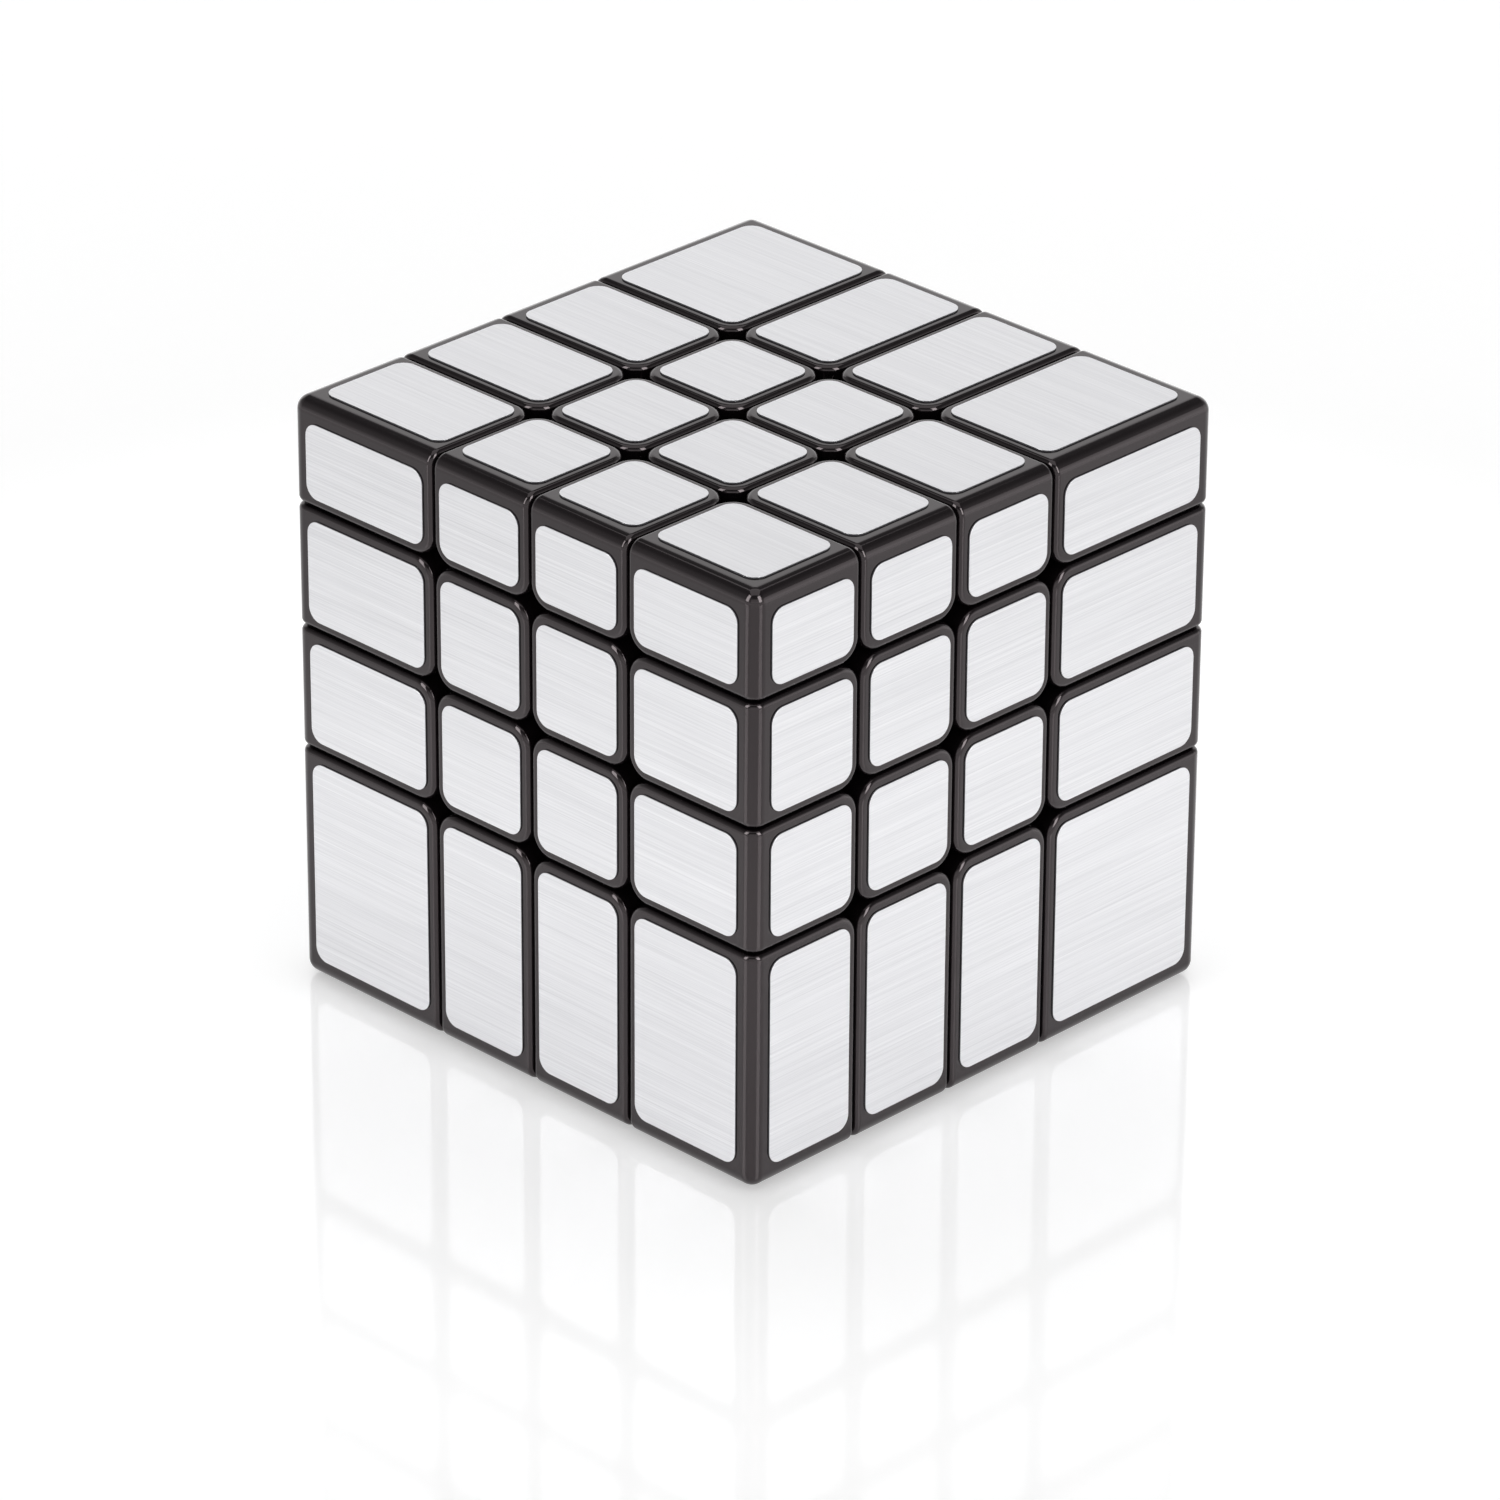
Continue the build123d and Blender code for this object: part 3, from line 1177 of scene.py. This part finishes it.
    def recess_mesh(self) -> Mesh:
        """Makes the cross that is pressed into the screw's head.

        Returns:
            A closed mesh that reaches through the head's top.
        """
        top = self.head_base - self.screw_start + self.head_height
        near, far = self.recess_width / 2, self.recess_length / 2
        outline = []
        for quarter in range(4):
            for x, y in ((far, -near), (far, near), (near, near)):
                for _ in range(quarter):
                    x, y = -y, x
                outline.append((x, y))
        count = len(outline)
        points = [(x, y, top - self.recess_depth) for x, y in outline]
        points += [(x, y, top + self.recess_depth) for x, y in outline]
        faces: list[tuple[int, ...]] = [tuple(reversed(range(count))), tuple(range(count, 2 * count))]
        for corner in range(count):
            after = (corner + 1) % count
            faces.append((corner, after, count + after, count + corner))
        mesh = bpy.data.meshes.new("cross_recess")
        mesh.from_pydata(points, [], faces)
        return mesh

    def screw_mesh(self) -> Mesh:
        """Makes one tension screw: threaded tip, plain shank and a round head with a cross recess.

        Returns:
            The screw's mesh, standing on its tip.
        """
        head = self.head_base - self.screw_start
        rings = self.thread_rings()
        rings.append(self.ring(self.thread_length + self.thread_pitch / 2, self.shank_radius))
        rings.append(self.ring(head, self.shank_radius))
        rings.append(self.ring(head, self.head_radius))
        corner = rounded_corner(
            self.head_radius, head + self.head_height, self.head_round, self.head_round_steps
        )
        for radius, height in corner:
            rings.append(self.ring(height, radius))
        screw = new_piece("screw_blank", turned_mesh("screw_blank", rings))
        cutter = new_piece("cross_recess", self.recess_mesh())
        cut = screw.modifiers.new("recess", "BOOLEAN")
        cut.operation = "DIFFERENCE"
        cut.object = cutter
        mesh = baked(screw).data
        bpy.data.objects.remove(screw)
        bpy.data.objects.remove(cutter)
        return mesh

    def washer_mesh(self) -> Mesh:
        """Makes one washer with lightly rounded outer corners.

        Returns:
            The washer's mesh, lying on its base.
        """
        upper = rounded_corner(
            self.washer_radius, self.washer_height, self.washer_round, self.washer_round_steps
        )
        lower = [(radius, self.washer_height - height) for radius, height in reversed(upper)]
        profile = [(self.washer_bore, 0.0), *lower, *upper, (self.washer_bore, self.washer_height)]
        rings = [self.ring(height, radius) for radius, height in profile]
        rings.append(rings[0])
        return turned_mesh("washer_blank", rings)

    def repeated(
        self,
        name: str,
        node: str,
        mesh: Mesh,
        tree: NodeTree,
        finish: MachineSteel,
        sizes: dict[str, float],
    ) -> Object:
        """Runs a tree on a piece, smooths the result and puts it in the CAD node's place.

        Args:
            name: The piece's name.
            node: The CAD node that the piece stands for.
            mesh: The mesh that the tree starts from.
            tree: The Geometry Nodes tree.
            finish: The piece's steel.
            sizes: The tree's inputs besides the arms' centre and the material.

        Returns:
            The finished piece.
        """
        piece = new_piece(name, mesh)
        values = {"Arm Centre": tuple(self.centre), "Material": finish.build(), **sizes}
        add_tree(piece, "arms", tree, values)
        baked(piece)
        piece.data.shade_smooth()
        piece.data.set_sharp_from_angle(angle=math.radians(self.sharp_angle_deg))
        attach(piece, body_of_node(self.frame)[node])
        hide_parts(node)
        return piece

    def build(self) -> Iterable[Object]:
        """Builds the screws, springs and washers.

        Yields:
            Each finished piece.
        """
        arms = self.arm_tree()
        screw = self.screw_mesh()
        start = {"Arm Start": self.screw_start}
        yield self.repeated("screws", "tension_screws", screw, arms, self.screw_finish, start)
        wound = self.spring_tree()
        blank = bpy.data.meshes.new("spring_blank")
        coil = {
            "Arm Start": self.spring_start,
            "Turns": self.spring_turns,
            "Coil Radius": self.spring_radius,
            "Coil Height": self.spring_height,
            "Wire Radius": self.wire_radius,
        }
        yield self.repeated("springs", "tension_springs", blank, wound, self.spring_finish, coil)
        washer = self.washer_mesh()
        start = {"Arm Start": self.washer_start}
        yield self.repeated("washers", "spring_washers", washer, arms, self.washer_finish, start)


# ---- studio


@dataclass(frozen=True)
class Softbox:
    """A rectangular soft light, aimed at the cube; its place is in degrees and its sizes are in metres."""

    name: str
    azimuth_deg: float
    elevation_deg: float
    distance: float
    width: float
    height: float
    radiance: float
    glints_only: bool = False

    def build(self, aim: Vector) -> None:
        """Builds the light.

        Args:
            aim: The point that it faces.
        """
        light = bpy.data.lights.new(self.name, "AREA")
        light.shape = "RECTANGLE"
        light.size = self.width
        light.size_y = self.height
        light.energy = self.radiance * math.pi * self.width * self.height
        lamp = bpy.data.objects.new(self.name, light)
        bpy.context.scene.collection.objects.link(lamp)
        offset = direction(self.azimuth_deg, self.elevation_deg) * self.distance
        lamp.location = aim + offset
        lamp.rotation_euler = offset.to_track_quat("Z", "Y").to_euler()
        lamp.visible_diffuse = not self.glints_only


def direction(azimuth_deg: float, elevation_deg: float) -> Vector:
    """The direction from the cube to a place around it.

    Args:
        azimuth_deg: 0 in front, at -Y, and 90 at +X.
        elevation_deg: The height over the horizon.

    Returns:
        A unit vector.
    """
    azimuth, elevation = math.radians(azimuth_deg), math.radians(elevation_deg)
    flat = math.cos(elevation)
    return Vector((math.sin(azimuth) * flat, -math.cos(azimuth) * flat, math.sin(elevation)))


@dataclass
class Studio:
    """The pale floor, the soft light and the camera."""

    floor_finish: PaintedGlowAcrylicFloor
    floor_half: float = 4.0
    floor_clearance: float = 0.02 * MM
    # The room's light at each height over the horizon, in degrees.
    room_levels: tuple[tuple[float, float], ...] = (
        (0, 0.95),
        (8, 0.8),
        (17, 0.45),
        (33, 0.33),
        (44, 0.16),
        (90, 0.12),
    )
    # Name, azimuth, elevation, distance, width, height, radiance.
    softboxes: tuple[Softbox, ...] = (
        Softbox("backdrop_light", 225, 19, 2.2, 3.6, 1.5, 0.7),
        Softbox("camera_side_wall", 45, 22, 2.2, 2.4, 1.0, 0.5),
        Softbox("overhead_softbox", 225, 86, 1.8, 2.0, 2.0, 0.9),
        Softbox("right_back_wall", 135, 12, 2.2, 1.8, 0.9, 0.8),
        Softbox("left_strip_light", -15, 32, 1.6, 0.6, 1.25, 5.4, glints_only=True),
        Softbox("right_strip_light", 86, 32, 1.6, 0.6, 1.25, 6.4, glints_only=True),
    )
    camera_azimuth_deg: float = 44.65
    camera_elevation_deg: float = 26.87
    camera_distance: float = 0.7696
    camera_roll_deg: float = 0.3
    camera_aim: tuple[float, float, float] = (0.0017, -0.0019, 0.0248)
    lens_mm: float = 198.8
    sensor_mm: float = 36.0
    clip_start: float = 0.01
    clip_end: float = 50.0

    def build_floor(self) -> None:
        """Builds the floor under the cube."""
        half = self.floor_half
        mesh = bpy.data.meshes.new("studio_floor")
        signs = ((-1, -1), (1, -1), (1, 1), (-1, 1))
        corners = [(x * half, y * half, -self.floor_clearance) for x, y in signs]
        mesh.from_pydata(corners, [], [(0, 1, 2, 3)])
        floor = new_piece("studio_floor", mesh)
        floor.data.materials.append(self.floor_finish.build())
        floor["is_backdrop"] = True

    def build_world(self) -> None:
        """Builds the even light of a white room, which dims towards the ceiling."""
        world = bpy.data.worlds.new("white_room")
        world.use_nodes = True
        world.node_tree.nodes.clear()
        add = partial(add_node, world.node_tree)
        coords = add("ShaderNodeTexCoord")
        height = add("ShaderNodeSeparateXYZ", inputs={0: coords.outputs["Generated"]})
        stops = [(math.sin(math.radians(elevation)), level) for elevation, level in self.room_levels]
        levels = grey_ramp(add, height.outputs["Z"], stops, "LINEAR")
        sky = add("ShaderNodeBackground", inputs={"Color": levels})
        add("ShaderNodeOutputWorld", inputs={"Surface": sky})
        bpy.context.scene.world = world

    def build_lights(self) -> None:
        """Builds the softboxes."""
        aim = Vector(self.camera_aim)
        for box in self.softboxes:
            box.build(aim)

    def build_camera(self) -> None:
        """Builds the camera and makes it the scene's own."""
        data = bpy.data.cameras.new("studio_camera")
        data.lens = self.lens_mm
        data.sensor_width = self.sensor_mm
        data.clip_start = self.clip_start
        data.clip_end = self.clip_end
        camera = bpy.data.objects.new("studio_camera", data)
        bpy.context.scene.collection.objects.link(camera)
        away = direction(self.camera_azimuth_deg, self.camera_elevation_deg)
        camera.location = Vector(self.camera_aim) + away * self.camera_distance
        roll = Matrix.Rotation(math.radians(self.camera_roll_deg), 3, "Z")
        camera.rotation_euler = (away.to_track_quat("Z", "Y").to_matrix() @ roll).to_euler()
        bpy.context.scene.camera = camera

    def build(self) -> None:
        """Builds the whole studio."""
        self.build_floor()
        self.build_world()
        self.build_lights()
        self.build_camera()
        bpy.context.scene.view_settings.view_transform = "Standard"


# ---- putting it together


def report(pieces: Iterable[Object]) -> None:
    """Logs each piece as it is finished.

    Args:
        pieces: The pieces, which are built as they are asked for.
    """
    for piece in pieces:
        LOG.info("%s: %d faces", piece.name, len(piece.data.polygons))


def main() -> None:
    """Loads the frame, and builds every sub-assembly in order."""
    logging.basicConfig(level=logging.INFO, format="%(name)s: %(message)s")
    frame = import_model()
    grid = LayerGrid.from_frame(frame)
    plastics = (
        MouldedGlossAbs("moulded_gloss_abs", "block_plastic"),
        MouldedPlastic("ivory_nylon", "core_plastic", colour="#DAD4C2", shadow_colour="#CFC8B4"),
        MouldedPlastic("black_acetal", "cap_plastic"),
        MouldedPlastic("black_nylon", "guide_plastic", colour="#222223", roughness=0.5),
    )
    for plastic in plastics:
        report(Mouldings(frame, plastic).build())
    films = {
        Grain.ALONG_X: BrushedSilverFilm("silver_film_brushed_along_x", "silver_film", Grain.ALONG_X),
        Grain.ALONG_Y: BrushedSilverFilm("silver_film_brushed_along_y", "silver_film", Grain.ALONG_Y),
    }
    report(FilmSheets(grid, films).build())
    hardware = ArmHardware(
        frame,
        grid.centre,
        screw_finish=MachineSteel(
            "black_zinc_plated_steel", "screw_steel", colour="#3C3C3F", stain_colour="#2A2A2C"
        ),
        spring_finish=MachineSteel("drawn_spring_steel", "spring_steel", colour="#A5A5A8", mark_mm=0.2),
        washer_finish=MachineSteel("stamped_steel", "washer_steel", colour="#ADAFB2", roughness_low=0.3),
    )
    report(hardware.build())
    Studio(PaintedGlowAcrylicFloor("white_acrylic_floor")).build()


if __name__ == "__main__":
    main()
